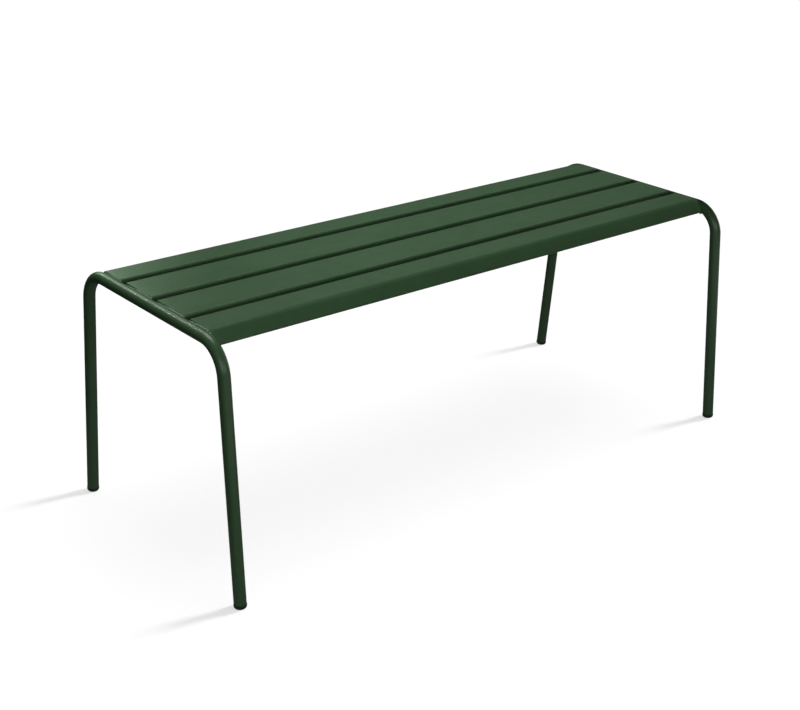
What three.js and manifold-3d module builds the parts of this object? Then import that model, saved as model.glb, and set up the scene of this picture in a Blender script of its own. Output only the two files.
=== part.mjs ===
// A backless garden bench in painted steel: two bent tube end frames, four folded sheet slats
// welded between them, two cross braces under the slats and a plastic glide in each tube end.
//
// Units are millimetres. +X runs along the seat, -Y is the front, +Z is up.
// The origin is on the floor, under the middle of the seat.

import * as THREE from "three";
import { mergeVertices } from "three/addons/utils/BufferGeometryUtils.js";
import Module from "manifold-3d";

const wasm = await Module();
wasm.setup();

// ---------------------------------------------------------------- driving dimensions

const SEAT_HEIGHT = 450; // top of the slats
const FRAME_SPACING = 1158; // between the axes of the two end frames
const CLEARANCE = 0.3; // between pieces that touch on the real bench

// End frames
const TUBE_RADIUS = 10.5;
const TUBE_WALL = 1.5;
const BEND_RADIUS = 54; // of the tube's axis
const TOP_HALF_LENGTH = 156.6; // from the middle of the frame to where its bends start
const LEG_SPLAY = THREE.MathUtils.degToRad(4.66);

// Slats
const SHEET = 1.5;
const SLAT_RISE = 2; // slat faces above the tops of the tubes
const SLAT_SETBACK = 6; // from a tube's axis to the slat ends
const SLOT_PITCH = 98.8;
const SLOT_WIDTH = 15.6;
const FLANGE_DEPTH = 18;
const FOLD_RADIUS = 3; // outer radius of the flange folds
const APRON_START = 155.5; // from the middle of the seat to where the outer slats turn down
const APRON_RADIUS = 15;
const APRON_ANGLE = THREE.MathUtils.degToRad(46);
const APRON_FLAT = 19;
const HEM_RADIUS = 3;
const HEM_LIP = 8;

// Cross braces: folded angles that tie the slats together
const BRACE_OFFSET = 200; // from the middle of the bench
const BRACE_HALF_LENGTH = 120;
const BRACE_SHEET = 2;
const BRACE_WIDTH = 24;
const BRACE_DROP = 11;
const BRACE_FOLD_RADIUS = 4;

// Glides
const GLIDE_RADIUS = 11;
const GLIDE_RIM = 2;
const GLIDE_HEAD = 7; // floor to tube end, along the leg
const GLIDE_ROUND = 5.8; // radius of the rounded lower edge
const PLUG_LENGTH = 22;
const PLUG_CORE_RADIUS = 7.2;
const PLUG_RIBS = 3;
const PLUG_RIB_RADIUS = 8.6;
const BLOCK_WIDTH = 44; // of the block that cuts a glide flat

// Weld beads, as half axes of an ellipsoid
const CORNER_WELD = new THREE.Vector3(2.4, 2.4, 6.2);
const CORNER_WELD_LEAN = THREE.MathUtils.degToRad(20);
const CORNER_WELD_REACH = 1; // from a flange's face into the slot
const APRON_WELD = new THREE.Vector3(3, 3.4, 3);
const BRACE_WELD = new THREE.Vector3(8, 2.2, 2.4);
const BRACE_WELD_RISE = 1; // above the brace

// Seam welds: across a slat's end a low run, a fuller run over part of it, and a knob at its start.
// Lengths along the seam are shares of the slat's flat width.
const SEAM_OFFSET = 5.3; // from the tube's axis
const SEAM_DROP = 2.9; // below the slat faces
const SEAM_LOW = new THREE.Vector3(3.1, 0.48, 1.6);
const SEAM_FULL = new THREE.Vector3(3.3, 0.34, 2.2);
const SEAM_FULL_CENTRE = 0.33;
const SEAM_KNOB = new THREE.Vector3(2.6, 3.2, 2.6);
const SEAM_KNOB_CENTRE = 2; // from the slat's corner
const SEAM_OVER_APRON = 5; // how far a seam weld runs on over the apron's fold

// Faceting
const TUBE_SIDES = 24;
const BEND_STEPS = 12;
const FOLD_STEP = THREE.MathUtils.degToRad(18);
const GLIDE_SIDES = 24;
const ROUND_STEPS = 4;
const WELD_SIDES = 8;
const WELD_RINGS = 6;
const SEAM_SIDES = 14;
const SEAM_RINGS = 8;

// ---------------------------------------------------------------- derived dimensions

const HALF_SPACING = FRAME_SPACING / 2;
const AXIS_HEIGHT = SEAT_HEIGHT - SLAT_RISE - TUBE_RADIUS;
const BEND_HEIGHT = AXIS_HEIGHT - BEND_RADIUS;
const BEND_ANGLE = Math.PI / 2 - LEG_SPLAY;
const BEND_END_Z = BEND_HEIGHT + BEND_RADIUS * Math.cos(BEND_ANGLE);
const BEND_END_Y = TOP_HALF_LENGTH + BEND_RADIUS * Math.sin(BEND_ANGLE);
const FOOT_Y = BEND_END_Y + BEND_END_Z * Math.tan(LEG_SPLAY);
const LEG_LENGTH = BEND_END_Z / Math.cos(LEG_SPLAY) - GLIDE_HEAD - CLEARANCE;
const SLAT_LENGTH = FRAME_SPACING - 2 * SLAT_SETBACK;
const INNER_SLAT_WIDTH = SLOT_PITCH - SLOT_WIDTH;
const FLANGE_FOOT_Z = SEAT_HEIGHT - FLANGE_DEPTH;
const SLOT_EDGES = [SLOT_WIDTH / 2, SLOT_PITCH - SLOT_WIDTH / 2, SLOT_PITCH + SLOT_WIDTH / 2];

// ---------------------------------------------------------------- materials

function paintedSteel() {
  return new THREE.MeshStandardMaterial({ color: 0x2f4b33, roughness: 0.5, metalness: 0.1 });
}

function blackPlastic() {
  return new THREE.MeshStandardMaterial({ color: 0x141414, roughness: 0.55, metalness: 0 });
}

// ---------------------------------------------------------------- solids and booleans

function solidOf(geometry) {
  const bare = geometry.clone();
  bare.deleteAttribute("normal");
  bare.deleteAttribute("uv");
  const merged = mergeVertices(bare);
  const vertProperties = merged.attributes.position.array;
  const triVerts = Uint32Array.from(merged.index.array);
  return new wasm.Manifold(new wasm.Mesh({ numProp: 3, vertProperties, triVerts }));
}

function geometryOf(solid) {
  const mesh = solid.getMesh();
  const geometry = new THREE.BufferGeometry();
  geometry.setAttribute("position", new THREE.BufferAttribute(mesh.vertProperties, 3));
  geometry.setIndex(new THREE.BufferAttribute(mesh.triVerts, 1));
  geometry.computeVertexNormals();
  return geometry;
}

function largestPiece(solid) {
  const pieces = solid.decompose();
  return pieces.reduce((best, piece) => (piece.volume() > best.volume() ? piece : best));
}

// ---------------------------------------------------------------- tubes

// One end frame's axis in the YZ plane, from the front foot to the rear foot: where each ring
// of the tube sits and which way the axis runs there, as an angle from +Y.
function frameAxis(overrun) {
  const stations = [];
  for (const side of [-1, 1]) {
    for (let i = 0; i <= BEND_STEPS; i += 1) {
      const turned = side < 0 ? 1 - i / BEND_STEPS : -i / BEND_STEPS;
      const heading = turned * BEND_ANGLE;
      const y = side * TOP_HALF_LENGTH - BEND_RADIUS * Math.sin(heading);
      const z = BEND_HEIGHT + BEND_RADIUS * Math.cos(heading);
      stations.push({ y, z, heading });
    }
  }
  const leg = LEG_LENGTH + overrun;
  const footOf = (end, way) => ({
    y: end.y + way * leg * Math.cos(end.heading),
    z: end.z + way * leg * Math.sin(end.heading),
    heading: end.heading,
  });
  stations.unshift(footOf(stations[0], -1));
  stations.push(footOf(stations[stations.length - 1], 1));
  return stations;
}

function ringAt(station, radius) {
  const ring = [];
  for (let i = 0; i < TUBE_SIDES; i += 1) {
    const angle = (i / TUBE_SIDES) * 2 * Math.PI;
    const across = radius * Math.sin(angle);
    const y = station.y - across * Math.sin(station.heading);
    const z = station.z + across * Math.cos(station.heading);
    ring.push(radius * Math.cos(angle), y, z);
  }
  return ring;
}

// A round bar that follows the frame's axis in the plane X = 0.
function frameBar(radius, overrun = 0) {
  const stations = frameAxis(overrun);
  const last = stations.length - 1;
  const positions = stations.flatMap((station) => ringAt(station, radius));
  positions.push(0, stations[0].y, stations[0].z);
  positions.push(0, stations[last].y, stations[last].z);
  const firstCentre = stations.length * TUBE_SIDES;
  const lastCentre = firstCentre + 1;
  const index = [];
  for (let side = 0; side < TUBE_SIDES; side += 1) {
    const next = (side + 1) % TUBE_SIDES;
    index.push(firstCentre, side, next);
    index.push(lastCentre, last * TUBE_SIDES + next, last * TUBE_SIDES + side);
    for (let ring = 0; ring < last; ring += 1) {
      const here = ring * TUBE_SIDES;
      const there = here + TUBE_SIDES;
      index.push(here + side, there + side, here + next);
      index.push(here + next, there + side, there + next);
    }
  }
  const geometry = new THREE.BufferGeometry();
  geometry.setAttribute("position", new THREE.Float32BufferAttribute(positions, 3));
  geometry.setIndex(index);
  return solidOf(geometry);
}

function frameTube() {
  const bore = frameBar(TUBE_RADIUS - TUBE_WALL, GLIDE_HEAD);
  return geometryOf(frameBar(TUBE_RADIUS).subtract(bore));
}

// ---------------------------------------------------------------- folded sheet

// The outline of a folded sheet in the YZ plane. The moves follow its outer face from start,
// heading at an angle from +Y; each is a straight run, then a left turn. The sheet lies on
// the left of the outer face. grow thickens it on both faces.
function sheetOutline(start, heading, moves, thickness, grow = 0) {
  const outer = [];
  const inner = [];
  const point = start.clone();
  let angle = heading;
  const leave = () => {
    const left = new THREE.Vector2(-Math.sin(angle), Math.cos(angle));
    outer.push(point.clone().addScaledVector(left, -grow));
    inner.push(point.clone().addScaledVector(left, thickness + grow));
  };
  leave();
  for (const { run, turn = 0, radius = 0 } of moves) {
    point.x += run * Math.cos(angle);
    point.y += run * Math.sin(angle);
    leave();
    const steps = Math.ceil(turn / FOLD_STEP);
    const centre = point.clone();
    centre.x -= radius * Math.sin(angle);
    centre.y += radius * Math.cos(angle);
    for (let step = 0; step < steps; step += 1) {
      angle += turn / steps;
      point.x = centre.x + radius * Math.sin(angle);
      point.y = centre.y - radius * Math.cos(angle);
      leave();
    }
  }
  return [...outer, ...inner.reverse()];
}

// Extrudes an outline in the YZ plane along X, centred on X = 0.
function prismAlongX(outline, length) {
  const geometry = new THREE.ExtrudeGeometry(new THREE.Shape(outline), {
    depth: length,
    bevelEnabled: false,
  });
  geometry.translate(0, 0, -length / 2);
  const axes = new THREE.Matrix4().makeBasis(
    new THREE.Vector3(0, 1, 0),
    new THREE.Vector3(0, 0, 1),
    new THREE.Vector3(1, 0, 0),
  );
  geometry.applyMatrix4(axes);
  return solidOf(geometry);
}

// ---------------------------------------------------------------- slats

const UP = Math.PI / 2;
const FOLD = { turn: Math.PI / 2, radius: FOLD_RADIUS };

// The two slats in front of the middle; the two behind it are the same, turned half way round.
const SLAT_SHAPES = {
  inner: {
    start: new THREE.Vector2(-SLOT_EDGES[0], FLANGE_FOOT_Z),
    moves: [
      { run: FLANGE_DEPTH - FOLD_RADIUS, ...FOLD },
      { run: INNER_SLAT_WIDTH - 2 * FOLD_RADIUS, ...FOLD },
      { run: FLANGE_DEPTH - FOLD_RADIUS },
    ],
  },
  outer: {
    start: new THREE.Vector2(-SLOT_EDGES[2], FLANGE_FOOT_Z),
    moves: [
      { run: FLANGE_DEPTH - FOLD_RADIUS, ...FOLD },
      { run: APRON_START - SLOT_EDGES[2] - FOLD_RADIUS, turn: APRON_ANGLE, radius: APRON_RADIUS },
      { run: APRON_FLAT, turn: Math.PI - APRON_ANGLE, radius: HEM_RADIUS },
      { run: HEM_LIP },
    ],
  },
};

const grownTube = frameBar(TUBE_RADIUS + CLEARANCE);
const bothTubes = [-1, 1].map((end) => grownTube.translate(end * HALF_SPACING, 0, 0));

function slatBlank(shape, grow = 0, length = SLAT_LENGTH) {
  return prismAlongX(sheetOutline(shape.start, UP, shape.moves, SHEET, grow), length);
}

// The ends are coped, so that the sheet follows the tubes it is welded to.
function slat(shape) {
  return geometryOf(slatBlank(shape).subtract(bothTubes[0]).subtract(bothTubes[1]));
}

// ---------------------------------------------------------------- cross braces

function brace() {
  const start = new THREE.Vector2(BRACE_WIDTH / 2, FLANGE_FOOT_Z - CLEARANCE - BRACE_DROP);
  const moves = [
    { run: BRACE_DROP - BRACE_FOLD_RADIUS, turn: Math.PI / 2, radius: BRACE_FOLD_RADIUS },
    { run: BRACE_WIDTH - BRACE_FOLD_RADIUS },
  ];
  const outline = sheetOutline(start, UP, moves, BRACE_SHEET);
  const geometry = geometryOf(prismAlongX(outline, 2 * BRACE_HALF_LENGTH));
  return geometry.rotateZ(Math.PI / 2);
}

// ---------------------------------------------------------------- glides

// The glide's outline from the foot of its head to the top of its plug: distance from the
// leg's axis, then height along it from the floor.
function glideProfile() {
  const profile = [new THREE.Vector2(0, GLIDE_HEAD - GLIDE_RIM - GLIDE_ROUND)];
  for (let i = 0; i <= ROUND_STEPS; i += 1) {
    const angle = (i / ROUND_STEPS) * (Math.PI / 2);
    const out = GLIDE_RADIUS - GLIDE_ROUND * (1 - Math.sin(angle));
    profile.push(new THREE.Vector2(out, GLIDE_HEAD - GLIDE_RIM - GLIDE_ROUND * Math.cos(angle)));
  }
  profile.push(new THREE.Vector2(GLIDE_RADIUS, GLIDE_HEAD));
  profile.push(new THREE.Vector2(PLUG_CORE_RADIUS, GLIDE_HEAD));
  const pitch = PLUG_LENGTH / (PLUG_RIBS + 1);
  for (let rib = 1; rib <= PLUG_RIBS; rib += 1) {
    const height = GLIDE_HEAD + rib * pitch;
    profile.push(new THREE.Vector2(PLUG_CORE_RADIUS, height - pitch / 4));
    profile.push(new THREE.Vector2(PLUG_RIB_RADIUS, height - pitch / 4));
    profile.push(new THREE.Vector2(PLUG_CORE_RADIUS, height + pitch / 4));
  }
  profile.push(new THREE.Vector2(PLUG_CORE_RADIUS, GLIDE_HEAD + PLUG_LENGTH));
  profile.push(new THREE.Vector2(0, GLIDE_HEAD + PLUG_LENGTH));
  return profile;
}

// A front glide, leaning with its leg and cut flat where it stands on the floor.
function glide() {
  const lathe = new THREE.LatheGeometry(glideProfile(), GLIDE_SIDES);
  lathe.rotateX(Math.PI / 2 - LEG_SPLAY);
  lathe.translate(0, -FOOT_Y, 0);
  const block = new THREE.BoxGeometry(BLOCK_WIDTH, BLOCK_WIDTH, GLIDE_RADIUS);
  block.translate(0, -FOOT_Y, -GLIDE_RADIUS / 2);
  return geometryOf(solidOf(lathe).subtract(solidOf(block)));
}

// ---------------------------------------------------------------- weld beads

function blob(halfAxes, place, lean = 0, sides = WELD_SIDES, rings = WELD_RINGS) {
  const ball = new THREE.SphereGeometry(1, sides, rings);
  ball.rotateX(Math.PI / 2);
  ball.scale(halfAxes.x, halfAxes.y, halfAxes.z);
  ball.rotateY(lean);
  ball.translate(place.x, place.y, place.z);
  return solidOf(ball);
}

// The slats in front of the middle, grown by the clearance, for beads to be cut back from.
function slatKeepOuts(length) {
  return Object.values(SLAT_SHAPES).map((shape) => slatBlank(shape, CLEARANCE, length));
}

const squareSlats = slatKeepOuts(FRAME_SPACING);
const endedSlats = slatKeepOuts(SLAT_LENGTH + 2 * CLEARANCE);

function cutBack(bead, cutters) {
  return geometryOf(largestPiece(cutters.reduce((solid, cutter) => solid.subtract(cutter), bead)));
}

// In the slot, where a flange meets the tube's side. out is the way from the flange into the slot.
function cornerWeld(end, edge, out) {
  const x = end * (HALF_SPACING - TUBE_RADIUS + CORNER_WELD_REACH);
  const place = new THREE.Vector3(x, -edge + out * CORNER_WELD_REACH, AXIS_HEIGHT);
  const bead = blob(CORNER_WELD, place, end * CORNER_WELD_LEAN);
  return cutBack(bead, [...bothTubes, ...squareSlats]);
}

// Along the end of a slat in front of the middle, on the tube's shoulder. It starts at the slat's
// corner at y = from, where it is fullest, and ends at the other corner.
function seamWeld(end, from, to) {
  const width = Math.abs(to - from);
  const way = Math.sign(to - from);
  const run = (shape, centre) => {
    const halfAxes = new THREE.Vector3(shape.x, shape.y * width, shape.z);
    return seamBlob(end, halfAxes, from + way * centre * width);
  };
  const knob = seamBlob(end, SEAM_KNOB, from + way * SEAM_KNOB_CENTRE);
  const bead = run(SEAM_LOW, 1 / 2).add(run(SEAM_FULL, SEAM_FULL_CENTRE)).add(knob);
  return cutBack(bead, [...bothTubes, ...endedSlats]);
}

function seamBlob(end, halfAxes, y) {
  const place = new THREE.Vector3(end * (HALF_SPACING - SEAM_OFFSET), y, SEAT_HEIGHT - SEAM_DROP);
  return blob(halfAxes, place, 0, SEAM_SIDES, SEAM_RINGS);
}

// Under the lower corner of the apron, on the tube's bend.
function apronWeld(end) {
  const drop = APRON_RADIUS * (1 - Math.cos(APRON_ANGLE)) + APRON_FLAT * Math.sin(APRON_ANGLE);
  const reach = APRON_RADIUS * Math.sin(APRON_ANGLE) + APRON_FLAT * Math.cos(APRON_ANGLE);
  const y = -(APRON_START + reach - HEM_RADIUS / 2);
  const z = SEAT_HEIGHT - drop - 2 * HEM_RADIUS;
  const bead = blob(APRON_WELD, new THREE.Vector3(end * (HALF_SPACING - TUBE_RADIUS), y, z));
  return cutBack(bead, [...bothTubes, ...squareSlats]);
}

// Along the top of a brace, where it meets the inside of a flange.
function braceWeld(x, edge, inward) {
  const y = -edge + inward * (SHEET + CLEARANCE + BRACE_WELD_RISE);
  const bead = blob(BRACE_WELD, new THREE.Vector3(x, y, FLANGE_FOOT_Z + BRACE_WELD_RISE));
  const floor = new THREE.BoxGeometry(BRACE_WIDTH, BRACE_WIDTH, BRACE_WIDTH);
  floor.translate(x, y, FLANGE_FOOT_Z - BRACE_WIDTH / 2);
  return cutBack(bead, [solidOf(floor), ...squareSlats]);
}

// ---------------------------------------------------------------- assembly

const bench = new THREE.Group();

function add(name, geometry, material, x = 0, turned = false) {
  const mesh = new THREE.Mesh(geometry, material);
  mesh.name = name;
  mesh.position.x = x;
  mesh.rotation.z = turned ? Math.PI : 0;
  bench.add(mesh);
}

const ENDS = { left: -1, right: 1 };
const OPPOSITE = { left: "right", right: "left" };

const tubeShape = frameTube();
const glideShape = glide();
for (const [end, way] of Object.entries(ENDS)) {
  add(`frame_tube_${end}`, tubeShape.clone(), paintedSteel(), way * HALF_SPACING);
  add(`glide_front_${end}`, glideShape.clone(), blackPlastic(), way * HALF_SPACING);
  add(`glide_rear_${end}`, glideShape.clone(), blackPlastic(), way * HALF_SPACING, true);
}

for (const [name, shape] of Object.entries(SLAT_SHAPES)) {
  add(`slat_${name}_front`, slat(shape), paintedSteel());
  add(`slat_${name}_rear`, slat(shape), paintedSteel(), 0, true);
}

const braceShape = brace();
for (const [end, way] of Object.entries(ENDS)) {
  add(`brace_${end}`, braceShape.clone(), paintedSteel(), way * BRACE_OFFSET);
}

// Beads are made for the front half, and turned half way round for the rear half.
function addBeadPair(name, end, geometry) {
  add(`${name}_front_${end}`, geometry, paintedSteel());
  add(`${name}_rear_${OPPOSITE[end]}`, geometry.clone(), paintedSteel(), 0, true);
}

const CORNERS = [
  { place: "inner_middle", edge: SLOT_EDGES[0], out: 1 },
  { place: "inner_edge", edge: SLOT_EDGES[1], out: -1 },
  { place: "outer_edge", edge: SLOT_EDGES[2], out: 1 },
];
const SEAMS = [
  { place: "inner", front: -SLOT_EDGES[1], rear: -SLOT_EDGES[0] },
  { place: "outer", front: -APRON_START - SEAM_OVER_APRON, rear: -SLOT_EDGES[2] },
];
for (const [end, way] of Object.entries(ENDS)) {
  for (const { place, edge, out } of CORNERS) {
    addBeadPair(`weld_${place}`, end, cornerWeld(way, edge, out));
    addBeadPair(`brace_weld_${place}`, end, braceWeld(way * BRACE_OFFSET, edge, -out));
  }
  for (const { place, front, rear } of SEAMS) {
    const [from, to] = way < 0 ? [front, rear] : [rear, front];
    addBeadPair(`seam_weld_${place}`, end, seamWeld(way, from, to));
  }
  addBeadPair("weld_apron", end, apronWeld(way));
}

export default bench;
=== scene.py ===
# The looks of the backless bench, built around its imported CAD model. Metres, +Z up, front is -Y.

import math

import bpy
from mathutils import Matrix, Vector, noise


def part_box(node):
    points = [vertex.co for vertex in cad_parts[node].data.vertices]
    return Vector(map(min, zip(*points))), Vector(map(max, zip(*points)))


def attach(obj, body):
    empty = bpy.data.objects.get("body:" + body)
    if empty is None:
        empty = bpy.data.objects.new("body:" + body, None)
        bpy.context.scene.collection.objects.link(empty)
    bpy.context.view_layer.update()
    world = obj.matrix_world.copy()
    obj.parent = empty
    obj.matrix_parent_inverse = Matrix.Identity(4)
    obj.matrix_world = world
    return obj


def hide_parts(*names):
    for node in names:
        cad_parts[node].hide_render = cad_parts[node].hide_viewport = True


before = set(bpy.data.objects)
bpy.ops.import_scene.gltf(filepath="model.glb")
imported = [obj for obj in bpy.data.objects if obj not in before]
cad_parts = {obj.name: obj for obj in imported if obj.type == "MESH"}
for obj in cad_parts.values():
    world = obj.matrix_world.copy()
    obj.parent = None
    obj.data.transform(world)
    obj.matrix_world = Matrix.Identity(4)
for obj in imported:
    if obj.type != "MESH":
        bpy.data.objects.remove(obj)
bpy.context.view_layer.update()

MM = 0.001

# ---------------------------------------------------------------- sizes shared with the CAD model

TUBE_LOW, TUBE_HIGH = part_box("frame_tube_right")
TUBE_RADIUS = (TUBE_HIGH.x - TUBE_LOW.x) / 2
AXIS_X = (TUBE_HIGH.x + TUBE_LOW.x) / 2
AXIS_Z = TUBE_HIGH.z - TUBE_RADIUS
SEAT_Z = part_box("slat_inner_front")[1].z
FLANGE_FOOT_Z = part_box("slat_inner_front")[0].z
INNER_EDGES = (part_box("slat_inner_rear")[0].y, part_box("slat_inner_rear")[1].y)
OUTER_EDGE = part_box("slat_outer_rear")[0].y
TUBE_WALL = 1.5 * MM
BEND_RADIUS = 54 * MM
TOP_HALF_LENGTH = 156.6 * MM
LEG_SPLAY = math.radians(4.66)
SHEET = 1.5 * MM
SLAT_SETBACK = 6 * MM
COPE_GAP = 0.3 * MM
FOLD_RADIUS = 3 * MM
APRON_START = 155.5 * MM
APRON_RADIUS = 15 * MM
APRON_ANGLE = math.radians(46)
APRON_FLAT = 19 * MM
HEM_RADIUS = 3 * MM
HEM_LIP = 8 * MM
GLIDE_RADIUS = 11 * MM
GLIDE_RIM = 2 * MM
GLIDE_HEAD = 7 * MM
GLIDE_ROUND = 5.8 * MM
PLUG_RADIUS = 7.2 * MM
PLUG_RIB = 8.9 * MM
PLUG_LENGTH = 22 * MM
BRACE_SHEET = 2 * MM
BRACE_FOLD = 4 * MM

BEND_ANGLE = math.pi / 2 - LEG_SPLAY
BEND_Z = AXIS_Z - BEND_RADIUS
BEND_END_Z = BEND_Z + BEND_RADIUS * math.cos(BEND_ANGLE)
BEND_END_Y = TOP_HALF_LENGTH + BEND_RADIUS * math.sin(BEND_ANGLE)
LEG_FOOT_Y = BEND_END_Y + BEND_END_Z * math.tan(LEG_SPLAY)
LEG_LENGTH = BEND_END_Z / math.cos(LEG_SPLAY) - GLIDE_HEAD - COPE_GAP

# ---------------------------------------------------------------- camera

CAMERA_PLACE = Vector((-1.630, -1.853, 1.267))
CAMERA_YAW = math.radians(51.03)
CAMERA_PITCH = math.radians(21.61)
CAMERA_ROLL = math.radians(0.94)
CAMERA_SENSOR = 36
CAMERA_LENS = 63.6
CAMERA_SHIFT = (0.0391, -0.0540)


def add_camera():
    forward = Vector((
        math.cos(CAMERA_YAW) * math.cos(CAMERA_PITCH),
        math.sin(CAMERA_YAW) * math.cos(CAMERA_PITCH),
        -math.sin(CAMERA_PITCH),
    ))
    level = Vector((math.sin(CAMERA_YAW), -math.cos(CAMERA_YAW), 0))
    upright = level.cross(forward)
    right = math.cos(CAMERA_ROLL) * level + math.sin(CAMERA_ROLL) * upright
    up = math.cos(CAMERA_ROLL) * upright - math.sin(CAMERA_ROLL) * level
    data = bpy.data.cameras.new("camera")
    data.sensor_width = CAMERA_SENSOR
    data.lens = CAMERA_LENS
    data.shift_x, data.shift_y = CAMERA_SHIFT
    camera = bpy.data.objects.new("camera", data)
    turn = Matrix((right, up, -forward)).transposed().to_4x4()
    camera.matrix_world = Matrix.Translation(CAMERA_PLACE) @ turn
    bpy.context.collection.objects.link(camera)
    bpy.context.scene.camera = camera


# ---------------------------------------------------------------- materials

UNIT = (0.0, 1.0)
MOST_OF_A_NOISE = (0.3, 0.7)

COAT_DEEP = (0.0291, 0.0655, 0.0279, 1)
COAT_LIGHT = (0.0340, 0.0745, 0.0324, 1)
# A pale coat for random specks, rubbed edges and the painted highlight on folds.
COAT_PALE = (0.0544, 0.1045, 0.0540, 1)
COAT_TONES = (0.55, 0.95)
COAT_CLOUD_SHARE = 0.5
COAT_SPECK_SHARE = (0.0, 0.18)
COAT_PATCH_EDGES = (0.42, 0.70)
COAT_PATCH_PALENESS = (0.15, 0.75)
COAT_ROUGHNESS = (0.31, 0.38)
COAT_POLISH = 0.08
COAT_SPECULAR = 0.3
COAT_FINE_SHARE = 0.35
COAT_RELIEF = 0.4 * MM
COAT_PEEL_STRENGTH = 0.10
WELD_PEEL_STRENGTH = 0.22

PLASTIC_DEEP = (0.0075, 0.0078, 0.0078, 1)
PLASTIC_LIGHT = (0.0125, 0.0128, 0.0125, 1)
PLASTIC_SCUFFED = (0.045, 0.044, 0.041, 1)
PLASTIC_SCUFF_HEIGHT = (0.0, 3.0 * MM)
PLASTIC_SCRATCH_EDGES = (0.45, 0.62)
PLASTIC_ROUGHNESS = (0.42, 0.75)
PLASTIC_RELIEF = 0.15 * MM
PLASTIC_GRAIN_STRENGTH = 0.25

# Each noise is its scale, in cycles to the metre, its detail and its roughness.
COAT_MOTTLE = (9.0, 3.0, 0.5)
COAT_SHEEN = (35.0, 3.0, 0.5)
COAT_CLOUD = (60.0, 2.0, 0.5)
COAT_PATCHES = (220.0, 4.0, 0.6)
COAT_PEEL = (700.0, 1.5, 0.5)
COAT_SPECK = (1500.0, 1.0, 0.5)
COAT_FINE_PEEL = (2400.0, 1.0, 0.5)
PLASTIC_MOTTLE = (250.0, 3.0, 0.5)
PLASTIC_SCRATCHES = (900.0, 5.0, 0.7)
PLASTIC_GRAIN = (3200.0, 2.0, 0.5)


def add_node(tree, kind, settings=None, **inputs):
    """A shader node. Each input, by name or as i and its number, is a value or a socket."""
    made = tree.nodes.new(kind)
    for key, value in (settings or {}).items():
        setattr(made, key, value)
    for key, value in inputs.items():
        numbered = key[0] == "i" and key[1:].isdigit()
        socket = made.inputs[int(key[1:]) if numbered else key]
        if isinstance(value, bpy.types.NodeSocket):
            tree.links.new(value, socket)
        else:
            socket.default_value = value
    return made


def object_place(tree):
    return add_node(tree, "ShaderNodeTexCoord").outputs["Object"]


def noise_at(tree, place, texture):
    scale, detail, roughness = texture
    made = add_node(
        tree, "ShaderNodeTexNoise", Vector=place, Scale=scale, Detail=detail, Roughness=roughness
    )
    return made.outputs["Fac"]


def remap(tree, value, span, to_span):
    low, high = span
    to_low, to_high = to_span
    made = add_node(tree, "ShaderNodeMapRange", i0=value, i1=low, i2=high, i3=to_low, i4=to_high)
    return made.outputs[0]


def maths(tree, operation, first, second):
    made = add_node(tree, "ShaderNodeMath", {"operation": operation}, i0=first, i1=second)
    return made.outputs[0]


def mix_colour(tree, factor, first, second):
    made = add_node(tree, "ShaderNodeMix", {"data_type": "RGBA"}, i0=factor, i6=first, i7=second)
    return made.outputs[2]


def new_material(name):
    material = bpy.data.materials.new(name)
    material.use_nodes = True
    tree = material.node_tree
    return material, tree, tree.nodes["Principled BSDF"]


def finish_material(tree, shader, colour, rough, height, relief, strength):
    bump = add_node(tree, "ShaderNodeBump", Strength=strength, Distance=relief, Height=height)
    tree.links.new(colour, shader.inputs["Base Color"])
    tree.links.new(rough, shader.inputs["Roughness"])
    tree.links.new(bump.outputs["Normal"], shader.inputs["Normal"])


def powder_coat(name, peel_strength):
    """Satin dark green powder coat: orange peel, faint mottling, edges rubbed a little paler, folds
    painted paler as a painted highlight.
    """
    material, tree, shader = new_material(name)
    place = object_place(tree)
    cloud = maths(tree, "MULTIPLY", noise_at(tree, place, COAT_CLOUD), COAT_CLOUD_SHARE)
    tone = maths(tree, "ADD", noise_at(tree, place, COAT_MOTTLE), cloud)
    colour = mix_colour(tree, remap(tree, tone, COAT_TONES, UNIT), COAT_DEEP, COAT_LIGHT)
    speck = noise_at(tree, place, COAT_SPECK)
    speck = remap(tree, speck, MOST_OF_A_NOISE, COAT_SPECK_SHARE)
    colour = mix_colour(tree, speck, colour, COAT_PALE)
    # This mask pales the coat: sheet edges, tube lips and slat ends as rubbed wear, the folds as a
    # painted highlight, and also the upper side of the bends and the weld ripple crests.
    wear = add_node(tree, "ShaderNodeAttribute", {"attribute_name": "wear"}).outputs["Fac"]
    patchy = noise_at(tree, place, COAT_PATCHES)
    patchy = remap(tree, patchy, COAT_PATCH_EDGES, COAT_PATCH_PALENESS)
    rubbed_and_highlit = maths(tree, "MULTIPLY", wear, patchy)
    colour = mix_colour(tree, rubbed_and_highlit, colour, COAT_PALE)
    sheen = noise_at(tree, place, COAT_SHEEN)
    rough = remap(tree, sheen, MOST_OF_A_NOISE, COAT_ROUGHNESS)
    rough = maths(tree, "SUBTRACT", rough, maths(tree, "MULTIPLY", rubbed_and_highlit, COAT_POLISH))
    shader.inputs["Specular IOR Level"].default_value = COAT_SPECULAR
    fine = maths(tree, "MULTIPLY", noise_at(tree, place, COAT_FINE_PEEL), COAT_FINE_SHARE)
    height = maths(tree, "ADD", noise_at(tree, place, COAT_PEEL), fine)
    finish_material(tree, shader, colour, rough, height, COAT_RELIEF, peel_strength)
    return material


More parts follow.
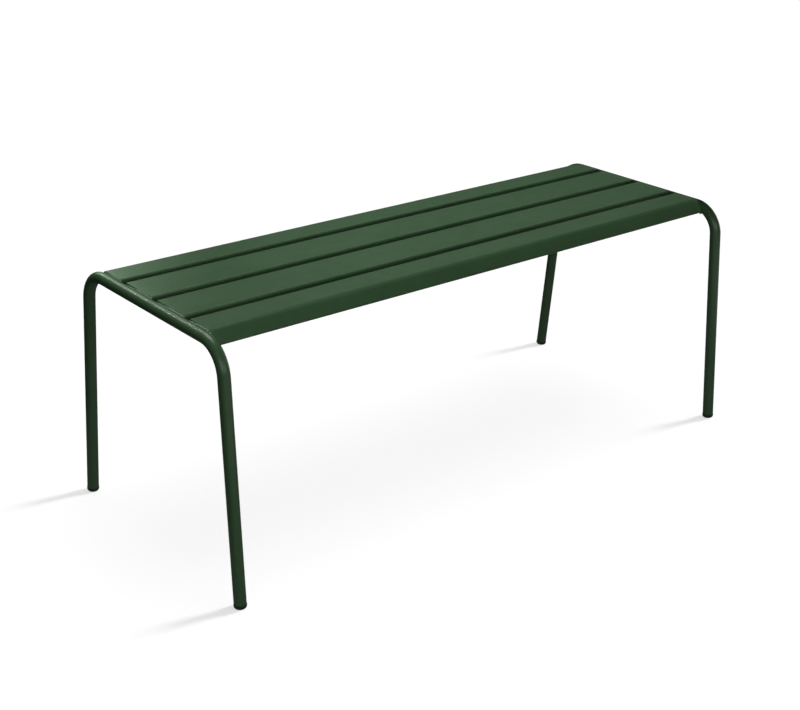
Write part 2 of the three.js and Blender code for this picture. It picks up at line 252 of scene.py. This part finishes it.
def moulded_plastic():
    """Black moulded plastic: fine grain, scuffed paler where it meets the ground."""
    material, tree, shader = new_material("moulded_plastic")
    place = object_place(tree)
    tone = remap(tree, noise_at(tree, place, PLASTIC_MOTTLE), MOST_OF_A_NOISE, UNIT)
    colour = mix_colour(tree, tone, PLASTIC_DEEP, PLASTIC_LIGHT)
    above_ground = add_node(tree, "ShaderNodeSeparateXYZ", Vector=place).outputs["Z"]
    near_ground = remap(tree, above_ground, PLASTIC_SCUFF_HEIGHT, UNIT[::-1])
    scratches = noise_at(tree, place, PLASTIC_SCRATCHES)
    scratches = remap(tree, scratches, PLASTIC_SCRATCH_EDGES, UNIT)
    scuffed = maths(tree, "MULTIPLY", near_ground, scratches)
    colour = mix_colour(tree, scuffed, colour, PLASTIC_SCUFFED)
    rough = remap(tree, scuffed, UNIT, PLASTIC_ROUGHNESS)
    grain = noise_at(tree, place, PLASTIC_GRAIN)
    finish_material(tree, shader, colour, rough, grain, PLASTIC_RELIEF, PLASTIC_GRAIN_STRENGTH)
    return material


COAT = powder_coat("powder_coat", COAT_PEEL_STRENGTH)
WELD_COAT = powder_coat("powder_coat_on_weld", WELD_PEEL_STRENGTH)
PLASTIC = moulded_plastic()

# ---------------------------------------------------------------- mesh making

BEVEL_SEGMENTS = 2
BEVEL_ANGLE = math.radians(50)


def skin(rows, rows_close=False, turned_over=False):
    """The faces between rows of points, where each row is a closed loop."""
    count = len(rows[0])
    faces = []
    for row in range(len(rows) if rows_close else len(rows) - 1):
        here = row * count
        there = (row + 1) % len(rows) * count
        for i in range(count):
            j = (i + 1) % count
            face = (here + i, here + j, there + j, there + i)
            faces.append(face[:1] + face[:0:-1] if turned_over else face)
    return faces


def flat_ends(rows):
    """One face over the first row and one over the last."""
    count = len(rows[0])
    total = count * len(rows)
    return [tuple(reversed(range(count))), tuple(range(total - count, total))]


def sheet_ends(rows):
    """Faces across a sheet's thickness, over the first row and over the last."""
    count = len(rows[0])
    last = (len(rows) - 1) * count
    faces = []
    for i in range(count // 2 - 1):
        opposite = count - 1 - i
        faces.append((i, i + 1, opposite - 1, opposite))
        faces.append((last + i, last + opposite, last + opposite - 1, last + i + 1))
    return faces


def add_piece(name, node, rows, faces, material, wear=None, bevel=0.0):
    """A piece made of rows of points, that stands for one CAD node."""
    points = [tuple(point) for row in rows for point in row]
    mesh = bpy.data.meshes.new(name)
    mesh.from_pydata(points, [], faces)
    mesh.update()
    mesh.attributes.new("wear", "FLOAT", "POINT")
    mesh.attributes["wear"].data.foreach_set("value", wear or [0.0] * len(points))
    mesh.materials.append(material)
    mesh.shade_smooth()
    piece = bpy.data.objects.new(name, mesh)
    bpy.context.collection.objects.link(piece)
    if bevel:
        rounding = piece.modifiers.new("rounding", "BEVEL")
        rounding.width = bevel
        rounding.segments = BEVEL_SEGMENTS
        rounding.limit_method = "ANGLE"
        rounding.angle_limit = BEVEL_ANGLE
    normals = piece.modifiers.new("normals", "WEIGHTED_NORMAL")
    normals.keep_sharp = True
    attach(piece, "root")
    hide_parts(node)


# ---------------------------------------------------------------- end frames

TUBE_SIDES = 72
BEND_STEPS = 40
RUN_STEPS = 12
TUBE_LIP = 0.35 * MM
BEND_FLATTENING = 0.012
CROWN_PALENESS = 0.25


def frame_axis():
    """One end frame's axis in the YZ plane, from front foot to rear foot.

    Each station is y, z, the heading from +Y, and how far into a bend it is, from 0 to 1."""
    front = []
    for step in range(RUN_STEPS, 0, -1):
        along = LEG_LENGTH * step / RUN_STEPS
        y = -BEND_END_Y - along * math.sin(LEG_SPLAY)
        front.append((y, BEND_END_Z - along * math.cos(LEG_SPLAY), BEND_ANGLE, 0.0))
    for step in range(BEND_STEPS + 1):
        turned = step / BEND_STEPS
        heading = BEND_ANGLE * (1 - turned)
        y = -TOP_HALF_LENGTH - BEND_RADIUS * math.sin(heading)
        z = BEND_Z + BEND_RADIUS * math.cos(heading)
        front.append((y, z, heading, math.sin(math.pi * turned)))
    top = []
    for step in range(1, RUN_STEPS):
        y = TOP_HALF_LENGTH * (2 * step / RUN_STEPS - 1)
        top.append((y, AXIS_Z, 0.0, 0.0))
    rear = [(-y, z, -heading, bend) for y, z, heading, bend in reversed(front)]
    return front + top + rear


def tube_ring(x, station, radius):
    y, z, heading, bend = station
    flatten = 1 - BEND_FLATTENING * bend
    ring = []
    for side in range(TUBE_SIDES):
        angle = 2 * math.pi * side / TUBE_SIDES
        across = radius * flatten * math.sin(angle)
        ring.append((
            x + radius * math.cos(angle),
            y - across * math.sin(heading),
            z + across * math.cos(heading),
        ))
    return ring


def shifted(station, along):
    y, z, heading, bend = station
    return y + along * math.cos(heading), z + along * math.sin(heading), heading, bend


def add_frame_tube(end, way):
    """A hollow tube with rounded lips: its outside from foot to foot, then its bore back again."""
    stations = frame_axis()
    first, last = stations[0], stations[-1]
    bore = TUBE_RADIUS - TUBE_WALL
    loops = [(first, TUBE_RADIUS - TUBE_LIP), (shifted(first, TUBE_LIP), TUBE_RADIUS)]
    loops += [(station, TUBE_RADIUS) for station in stations[1:-1]]
    loops += [(shifted(last, -TUBE_LIP), TUBE_RADIUS), (last, TUBE_RADIUS - TUBE_LIP)]
    loops += [(station, bore) for station in reversed(stations)]
    # The upper side of each bend is painted paler; the lips are rubbed paler.
    crown = [max(0.0, math.sin(2 * math.pi * side / TUBE_SIDES)) for side in range(TUBE_SIDES)]
    rows, wear = [], []
    for station, radius in loops:
        rows.append(tube_ring(way * AXIS_X, station, radius))
        lip = 1.0 if station in (first, last) else 0.0
        wear += [max(lip, CROWN_PALENESS * station[3] * upward) for upward in crown]
    faces = skin(rows, rows_close=True)
    add_piece(f"end_frame_{end}", f"frame_tube_{end}", rows, faces, COAT, wear)


# ---------------------------------------------------------------- slats

FOLD_STEP = math.radians(6)
FLAT_STEP = 6 * MM
SLAT_STATIONS = 72
SHEET_EDGE = 0.4 * MM
EDGE_WEAR = 0.6
SHARP_FOLD = 5 * MM


def sheet_chain(start, moves, thickness):
    """A folded sheet's section in the YZ plane, as a closed loop and its paleness: worn edges,
    painted fold highlight.

    The moves follow the outer face from start, heading up. Each is a run, a left turn and its
    radius."""
    point = Vector(start)
    heading = math.pi / 2
    outer, inner, folded = [], [], []

    def leave(fold):
        left = Vector((-math.sin(heading), math.cos(heading)))
        outer.append(point.copy())
        inner.append(point + thickness * left)
        folded.append(fold)

    leave(EDGE_WEAR)
    for run, turn, radius in moves:
        steps = max(2, round(run / FLAT_STEP))
        for _ in range(steps):
            point += Vector((math.cos(heading), math.sin(heading))) * (run / steps)
            leave(0.0)
        steps = max(1, round(turn / FOLD_STEP)) if turn else 0
        for step in range(steps):
            centre = point + radius * Vector((-math.sin(heading), math.cos(heading)))
            heading += turn / steps
            point = centre + radius * Vector((math.sin(heading), -math.cos(heading)))
            # The middle of each fold is painted paler, a painted highlight.
            leave(math.sin(math.pi * (step + 1) / steps) * min(1.0, SHARP_FOLD / radius))
    folded[-1] = EDGE_WEAR
    return outer + inner[::-1], folded + folded[::-1]


def distance_to_axis(y, z):
    """From a point in the YZ plane to the end frame's axis."""
    y = abs(y)
    if y <= TOP_HALF_LENGTH:
        return abs(z - AXIS_Z)
    return abs(math.hypot(y - TOP_HALF_LENGTH, z - BEND_Z) - BEND_RADIUS)


def slat_end(point):
    """How far along X the sheet reaches, coped round the tube where it meets it."""
    reach = TUBE_RADIUS + COPE_GAP
    away = distance_to_axis(point.x, point.y)
    half_chord = math.sqrt(max(0.0, reach * reach - away * away))
    return AXIS_X - max(SLAT_SETBACK, half_chord)


def add_slat(kind, row, start, moves):
    """One folded slat. The rear slats are the front ones turned half way round."""
    loop, loop_wear_and_highlight = sheet_chain(start, moves, SHEET)
    way = 1 if row == "front" else -1
    rows, wear = [], []
    for station in range(SLAT_STATIONS + 1):
        t = 2 * station / SLAT_STATIONS - 1
        rows.append([(way * t * slat_end(p), way * p.x, p.y) for p in loop])
        wear += [1.0] * len(loop) if station in (0, SLAT_STATIONS) else loop_wear_and_highlight
    faces = skin(rows, turned_over=True) + sheet_ends(rows)
    name, node = f"{kind}_slat_{row}", f"slat_{kind}_{row}"
    add_piece(name, node, rows, faces, COAT, wear, SHEET_EDGE)


FLANGE_RUN = SEAT_Z - FLANGE_FOOT_Z - FOLD_RADIUS
FLANGE_FOLD = (FLANGE_RUN, math.pi / 2, FOLD_RADIUS)
INNER_RUN = INNER_EDGES[1] - INNER_EDGES[0] - 2 * FOLD_RADIUS
OUTER_RUN = APRON_START - OUTER_EDGE - FOLD_RADIUS
SLAT_SHAPES = {
    "inner": (
        (-INNER_EDGES[0], FLANGE_FOOT_Z),
        [FLANGE_FOLD, (INNER_RUN, math.pi / 2, FOLD_RADIUS), (FLANGE_RUN, 0, 0)],
    ),
    "outer": (
        (-OUTER_EDGE, FLANGE_FOOT_Z),
        [
            FLANGE_FOLD,
            (OUTER_RUN, APRON_ANGLE, APRON_RADIUS),
            (APRON_FLAT, math.pi - APRON_ANGLE, HEM_RADIUS),
            (HEM_LIP, 0, 0),
        ],
    ),
}

# ---------------------------------------------------------------- cross braces

BRACE_STEPS = 24


def add_brace(end):
    """A folded angle under the slats, its ends square and its edges rounded."""
    low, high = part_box(f"brace_{end}")
    moves = [
        (high.z - low.z - BRACE_FOLD, math.pi / 2, BRACE_FOLD),
        (high.x - low.x - BRACE_FOLD, 0, 0),
    ]
    loop, loop_wear_and_highlight = sheet_chain((0, low.z), moves, BRACE_SHEET)
    rows, wear = [], []
    for step in range(BRACE_STEPS + 1):
        y = low.y + (high.y - low.y) * step / BRACE_STEPS
        rows.append([(low.x - p.x, y, p.y) for p in loop])
        wear += loop_wear_and_highlight
    faces = skin(rows) + flat_ends(rows)
    name, node = f"cross_brace_{end}", f"brace_{end}"
    add_piece(name, node, rows, faces, COAT, wear, SHEET_EDGE)


# ---------------------------------------------------------------- glides

GLIDE_SIDES = 64
ROUND_STEPS = 10
GLIDE_EDGE = 0.4 * MM
EDGE_CORNER = 0.3
CLOSED_TIP = 0.05 * MM
# The moulding mark under the head, in mm: distance from the axis, and height.
MOULDING_MARK = ((0.05, 0.7), (1.7, 0.7), (2.0, 0.4), (2.1, -0.8))
PLUG_RIBS = 3
# One rib of the plug: height in pitches from the rib's middle, and distance from the axis.
RIB_SHAPE = (
    (-1 / 4, PLUG_RADIUS),
    (-1 / 5, PLUG_RIB),
    (-1 / 8, PLUG_RIB),
    (1 / 4, PLUG_RADIUS),
)


def glide_profile():
    """Distance from the leg's axis and height along it, from under the head to the plug's top."""
    profile = [(out * MM, height * MM) for out, height in MOULDING_MARK]
    for step in range(ROUND_STEPS + 1):
        angle = step / ROUND_STEPS * math.pi / 2
        out = GLIDE_RADIUS - GLIDE_ROUND * (1 - math.sin(angle))
        profile.append((out, GLIDE_HEAD - GLIDE_RIM - GLIDE_ROUND * math.cos(angle)))
    corner = EDGE_CORNER * GLIDE_EDGE
    profile += [
        (GLIDE_RADIUS, GLIDE_HEAD - GLIDE_EDGE),
        (GLIDE_RADIUS - corner, GLIDE_HEAD - corner),
        (GLIDE_RADIUS - GLIDE_EDGE, GLIDE_HEAD),
        (PLUG_RADIUS, GLIDE_HEAD),
    ]
    pitch = PLUG_LENGTH / (PLUG_RIBS + 1)
    for rib in range(1, PLUG_RIBS + 1):
        middle = GLIDE_HEAD + rib * pitch
        profile += [(out, middle + share * pitch) for share, out in RIB_SHAPE]
    top = GLIDE_HEAD + PLUG_LENGTH
    profile += [(PLUG_RADIUS, top - GLIDE_EDGE), (PLUG_RADIUS - GLIDE_EDGE, top), (CLOSED_TIP, top)]
    return profile


def add_glide(row, end, way):
    """A glide leaning with its leg, flat where it stands on the ground."""
    side = -1 if row == "front" else 1
    lean = Matrix.Rotation(side * LEG_SPLAY, 3, "X")
    foot = Vector((way * AXIS_X, side * LEG_FOOT_Y, 0))
    rows = []
    for radius, height in glide_profile():
        ring = []
        for i in range(GLIDE_SIDES):
            angle = 2 * math.pi * i / GLIDE_SIDES
            out = Vector((radius * math.cos(angle), radius * math.sin(angle), height))
            point = foot + lean @ out
            ring.append((point.x, point.y, max(point.z, 0.0)))
        rows.append(ring)
    faces = skin(rows) + flat_ends(rows)
    name, node = f"foot_glide_{row}_{end}", f"glide_{row}_{end}"
    add_piece(name, node, rows, faces, PLASTIC)


# ---------------------------------------------------------------- weld beads

WELD_SIDES = 20
RIPPLE_PITCH = 1.3 * MM
RIPPLE_DEPTH = 0.13
RIPPLE_PALENESS = 0.6
STEPS_PER_RIPPLE = 7
FEWEST_RIPPLES = 3
END_ROUNDING = 5
END_TIP = 0.03
LUMPS_PER_METRE = 420
LUMP_DEPTH = 0.10
UPRIGHT = 0.9

BEAD_RADIUS = {"brace": 1.9 * MM, "seam": 2.2 * MM, "apron": 2.4 * MM, "corner": 1.8 * MM}
CORNER_STEPS = 8
CORNER_CLEARANCE = 0.2 * MM
APRON_REACH = 1.6 * MM
APRON_HEADING = Vector((0, -0.6, -0.8))

SEAM_STEPS = 24
SEAM_OFFSET = 5.0 * MM
SEAM_DROP = 2.25 * MM
SEAM_OVERRUN = 0.8 * MM
SEAM_OVER_FOLD = 9 * MM
SEAM_SLOPE = math.radians(22)
SEAM_WIDENING = 1.45
SEAM_FLATTENING = 0.6
SEAM_KNOB = 0.3
SEAM_KNOB_AT = 0.04
SEAM_KNOB_WIDTH = 0.05
SEAM_SINKS_FROM = 0.52
SEAM_SINKS_TO = 0.72
SEAM_SINK = 1.0 * MM
SEAM_THINNING = 0.1


def add_bead(node, path, radius, seed, swelling=None, section=None):
    """A rippled weld bead along a path, round at both ends and a little uneven.

    The section, when given, is a matrix that presses the round bead into an oval."""
    length = sum((b - a).length for a, b in zip(path, path[1:]))
    ripples = max(FEWEST_RIPPLES, round(length / RIPPLE_PITCH))
    count = ripples * STEPS_PER_RIPPLE
    rows, wear = [], []
    for step in range(count + 1):
        t = step / count
        whole = t * (len(path) - 1)
        part = min(int(whole), len(path) - 2)
        centre = path[part].lerp(path[part + 1], whole - part)
        along = (path[part + 1] - path[part]).normalized()
        across = Vector((0, 1, 0)) if abs(along.y) < UPRIGHT else Vector((1, 0, 0))
        side = along.cross(across).normalized()
        up = side.cross(along)
        taper = math.sqrt(max(0.0, 1 - abs(2 * t - 1) ** END_ROUNDING)) + END_TIP
        crest = abs(math.sin(math.pi * t * ripples))
        ring = []
        for i in range(WELD_SIDES):
            angle = 2 * math.pi * i / WELD_SIDES
            out = side * math.cos(angle) + up * math.sin(angle)
            if section:
                out = section @ out
            place = (centre + out * radius) * LUMPS_PER_METRE + Vector((seed, 0, 0))
            lump = LUMP_DEPTH * noise.noise(place)
            swell = taper * (1 - RIPPLE_DEPTH + RIPPLE_DEPTH * crest + lump)
            if swelling:
                swell *= swelling(t)
            ring.append(centre + out * radius * swell)
        rows.append(ring)
        # The ripple crests are painted paler.
        wear += [RIPPLE_PALENESS * crest] * WELD_SIDES
    name = node.replace("seam_weld", "seam").replace("brace_weld", "on_brace").replace("weld_", "")
    faces = skin(rows) + flat_ends(rows)
    add_piece(f"bead_{name}", node, rows, faces, WELD_COAT, wear)


def straight_path(middle, reach):
    return [middle - reach, middle, middle + reach]


def corner_path(low, high, way, radius):
    """Down the tube's side, between a flange and the tube."""
    path = []
    y = (low.y + high.y) / 2
    for step in range(CORNER_STEPS + 1):
        z = low.z + radius + (high.z - low.z - 2 * radius) * step / CORNER_STEPS
        reach = math.sqrt(TUBE_RADIUS ** 2 - (z - AXIS_Z) ** 2)
        path.append(Vector((way * (AXIS_X - reach - CORNER_CLEARANCE), y, z)))
    return path


def seam_sunk(t):
    """How far, from 0 to 1, a seam weld has sunk on the way to its second corner."""
    part = max(0.0, min(1.0, (t - SEAM_SINKS_FROM) / (SEAM_SINKS_TO - SEAM_SINKS_FROM)))
    return part * part * (3 - 2 * part)


def seam_path(low, high, way):
    """Across a slat's end on the tube's shoulder, and down the apron's fold on an outer slat.

    It starts at the front corner on the left end and at the rear corner on the right end."""
    low_y, high_y = low.y - SEAM_OVERRUN, high.y + SEAM_OVERRUN
    if high_y > APRON_START:
        high_y = APRON_START + SEAM_OVER_FOLD
    if low_y < -APRON_START:
        low_y = -APRON_START - SEAM_OVER_FOLD
    path = []
    for step in range(SEAM_STEPS + 1):
        t = step / SEAM_STEPS
        y = low_y + (high_y - low_y) * t
        over = max(0.0, abs(y) - APRON_START)
        fallen = APRON_RADIUS - math.sqrt(APRON_RADIUS ** 2 - over ** 2)
        fallen += SEAM_SINK * seam_sunk(t if way < 0 else 1 - t)
        path.append(Vector((way * (AXIS_X - SEAM_OFFSET), y, SEAT_Z - SEAM_DROP - fallen)))
    return path if way < 0 else path[::-1]


def seam_section(way):
    """Wide across the gap and flat on top, sloping down from the slat to the tube."""
    slope = Matrix.Rotation(way * SEAM_SLOPE, 3, "Y")
    return slope @ Matrix.Diagonal((SEAM_WIDENING, 1, SEAM_FLATTENING)) @ slope.transposed()


def seam_swell(t):
    """A seam weld's thickness along its path: full at the first corner, thinner at the other."""
    knob = math.exp(-((t - SEAM_KNOB_AT) / SEAM_KNOB_WIDTH) ** 2)
    return 1 + SEAM_KNOB * knob - SEAM_THINNING * seam_sunk(t)


def add_beads():
    nodes = sorted(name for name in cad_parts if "weld" in name)
    for seed, node in enumerate(nodes):
        low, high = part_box(node)
        middle = (low + high) / 2
        way = 1 if middle.x > 0 else -1
        if node.startswith("seam"):
            path = seam_path(low, high, way)
            add_bead(node, path, BEAD_RADIUS["seam"], seed, seam_swell, seam_section(way))
        elif node.startswith("brace"):
            radius = BEAD_RADIUS["brace"]
            reach = Vector(((high.x - low.x) / 2 - radius, 0, 0))
            add_bead(node, straight_path(middle, reach), radius, seed)
        elif "apron" in node:
            reach = APRON_HEADING * APRON_REACH
            if middle.y > 0:
                reach.y = -reach.y
            add_bead(node, straight_path(middle, reach), BEAD_RADIUS["apron"], seed)
        else:
            radius = BEAD_RADIUS["corner"]
            add_bead(node, corner_path(low, high, way, radius), radius, seed)


# ---------------------------------------------------------------- studio

FLOOR_HALF = 30.0
FLOOR_GREY = 0.30
FLOOR_GLOW = 0.68
WALL_HEIGHT = 20.0
WALL_GREY = 0.0
WALL_GLOW = 1.1
NEUTRAL = (1, 1, 1)
LEAFY = (0.7, 1, 0.7)
SEAT_MIDDLE = (0, 0, 0.35)
LEFT_TOP = (-AXIS_X, 0, AXIS_Z)
PANEL = (1.8, 1.0)
OVERHEAD = (1.5, 1.5)
STRIP = (0.12, 0.4)
SUN_PLACE = (0, 0, 3)


def round_the_bench(degrees, radius, height):
    angle = math.radians(degrees)
    return radius * math.cos(angle), radius * math.sin(angle), height


# Each softbox: its name, place, target, size, watts, the pieces it lights and its colour.
SOFTBOXES = (
    ("front", round_the_bench(270, 2.8, 1.2), SEAT_MIDDLE, PANEL, 20.0, "bench", NEUTRAL),
    ("front_left", round_the_bench(225, 2.8, 1.2), SEAT_MIDDLE, PANEL, 20.5, "bench", NEUTRAL),
    ("behind", round_the_bench(90, 2.8, 1.7), SEAT_MIDDLE, PANEL, 17.0, "bench", LEAFY),
    ("behind_right", round_the_bench(45, 2.8, 1.7), SEAT_MIDDLE, PANEL, 3.0, "bench", LEAFY),
    ("low_right", round_the_bench(0, 3.0, 0.6), SEAT_MIDDLE, PANEL, 14.5, "bench", NEUTRAL),
    ("top_behind", (-0.3, 0.85, 2.8), (-0.1, 0.1, 0.4), OVERHEAD, 55, "not_right_tube", NEUTRAL),
    ("top_left", (-1.6, 1.6, 2.6), (-0.48, 0.48, 0.4), OVERHEAD, 3, "bench", NEUTRAL),
    ("bounce_front", (0, -1.5, 0.002), (0, -1.5, 1), (3.0, 1.6), 8.0, "legs", NEUTRAL),
    ("bounce_right", (1.8, 0, 0.002), (1.8, 0, 1), (1.6, 3.0), 7.9, "bench", NEUTRAL),
    ("bounce_middle", (0, 0, 0.002), (0, 0, 1), (1.6, 1.0), 0.8, "bench", NEUTRAL),
    ("strip", (-0.45, 2.37, 2.12), LEFT_TOP, STRIP, 8.5, "left_tube", NEUTRAL),
)
# Each sun: where it points, its strength and its spread in degrees. They light only the floor.
FLOOR_FILL = ((-0.2, 0, -1), 1.3, 40)
FOOT_SHADOWS = ((-0.98, 0.18, -0.19), 12.8, 12)


def add_stage_piece(name, points, faces, grey, glow):
    """Part of the backdrop. It shows, and takes light, but throws none back on the bench."""
    mesh = bpy.data.meshes.new(name)
    mesh.from_pydata(points, [], faces)
    material, _, shader = new_material(name)
    shader.inputs["Base Color"].default_value = (grey, grey, grey, 1)
    shader.inputs["Roughness"].default_value = 1.0
    shader.inputs["Specular IOR Level"].default_value = 0.0
    shader.inputs["Emission Color"].default_value = (1, 1, 1, 1)
    shader.inputs["Emission Strength"].default_value = glow
    mesh.materials.append(material)
    piece = bpy.data.objects.new(name, mesh)
    piece.visible_diffuse = False
    piece.visible_glossy = False
    piece.visible_shadow = False
    bpy.context.collection.objects.link(piece)
    return piece


def add_stage():
    """A pale floor, and glowing walls far off. Returns the floor."""
    corners = [(-1, -1), (1, -1), (1, 1), (-1, 1)]
    low = [(FLOOR_HALF * x, FLOOR_HALF * y, 0) for x, y in corners]
    high = [(x, y, WALL_HEIGHT) for x, y, _ in low]
    walls = [(i, i + 4, (i + 1) % 4 + 4, (i + 1) % 4) for i in range(4)]
    add_stage_piece("backdrop", low + high, walls, WALL_GREY, WALL_GLOW)
    return add_stage_piece("floor", low, [(0, 1, 2, 3)], FLOOR_GREY, FLOOR_GLOW)


def collection_of(name, pieces):
    made = bpy.data.collections.new(name)
    for piece in pieces:
        made.objects.link(piece)
    return made


def add_light(name, data, place, towards, receivers):
    light = bpy.data.objects.new(name, data)
    light.location = place
    light.rotation_euler = Vector(towards).to_track_quat("-Z", "Y").to_euler()
    light.visible_camera = False
    bpy.context.collection.objects.link(light)
    light.light_linking.receiver_collection = receivers
    return light


def add_sun(name, towards, strength, spread, receivers):
    data = bpy.data.lights.new(name, "SUN")
    data.energy = strength
    data.angle = math.radians(spread)
    return add_light(name, data, SUN_PLACE, towards, receivers)


def add_softbox(name, place, target, size, watts, receivers, colour):
    data = bpy.data.lights.new(name, "AREA")
    data.shape = "RECTANGLE"
    data.size, data.size_y = size
    data.energy = watts
    data.color = colour
    add_light(name, data, place, Vector(target) - Vector(place), receivers)


def add_studio():
    """Soft panels for the bench, and two suns for the floor; only the glides shade the second."""
    pieces = [o for o in bpy.context.collection.objects if o.type == "MESH"]
    floor = collection_of("floor_piece", [add_stage()])
    glides = collection_of("glides", [o for o in pieces if o.name.startswith("foot_glide")])
    lit = {
        "bench": pieces,
        "left_tube": [o for o in pieces if o.name == "end_frame_left"],
        "not_right_tube": [o for o in pieces if o.name != "end_frame_right"],
        "legs": [o for o in pieces if o.name.startswith(("end_frame", "foot_glide"))],
    }
    lit = {group: collection_of(group, members) for group, members in lit.items()}
    for name, place, target, size, watts, group, colour in SOFTBOXES:
        add_softbox(name, place, target, size, watts, lit[group], colour)
    add_sun("floor_fill", *FLOOR_FILL, floor)
    shadows = add_sun("foot_shadows", *FOOT_SHADOWS, floor)
    shadows.light_linking.blocker_collection = glides
    world = bpy.data.worlds.new("studio")
    world.use_nodes = True
    world.node_tree.nodes["Background"].inputs["Strength"].default_value = 0.0
    bpy.context.scene.world = world
    bpy.context.scene.view_settings.view_transform = "Standard"


# ---------------------------------------------------------------- the bench

add_camera()
for end, way in (("left", -1), ("right", 1)):
    add_frame_tube(end, way)
    add_brace(end)
    for row in ("front", "rear"):
        add_glide(row, end, way)
for kind, (start, moves) in SLAT_SHAPES.items():
    for row in ("front", "rear"):
        add_slat(kind, row, start, moves)
add_beads()
add_studio()
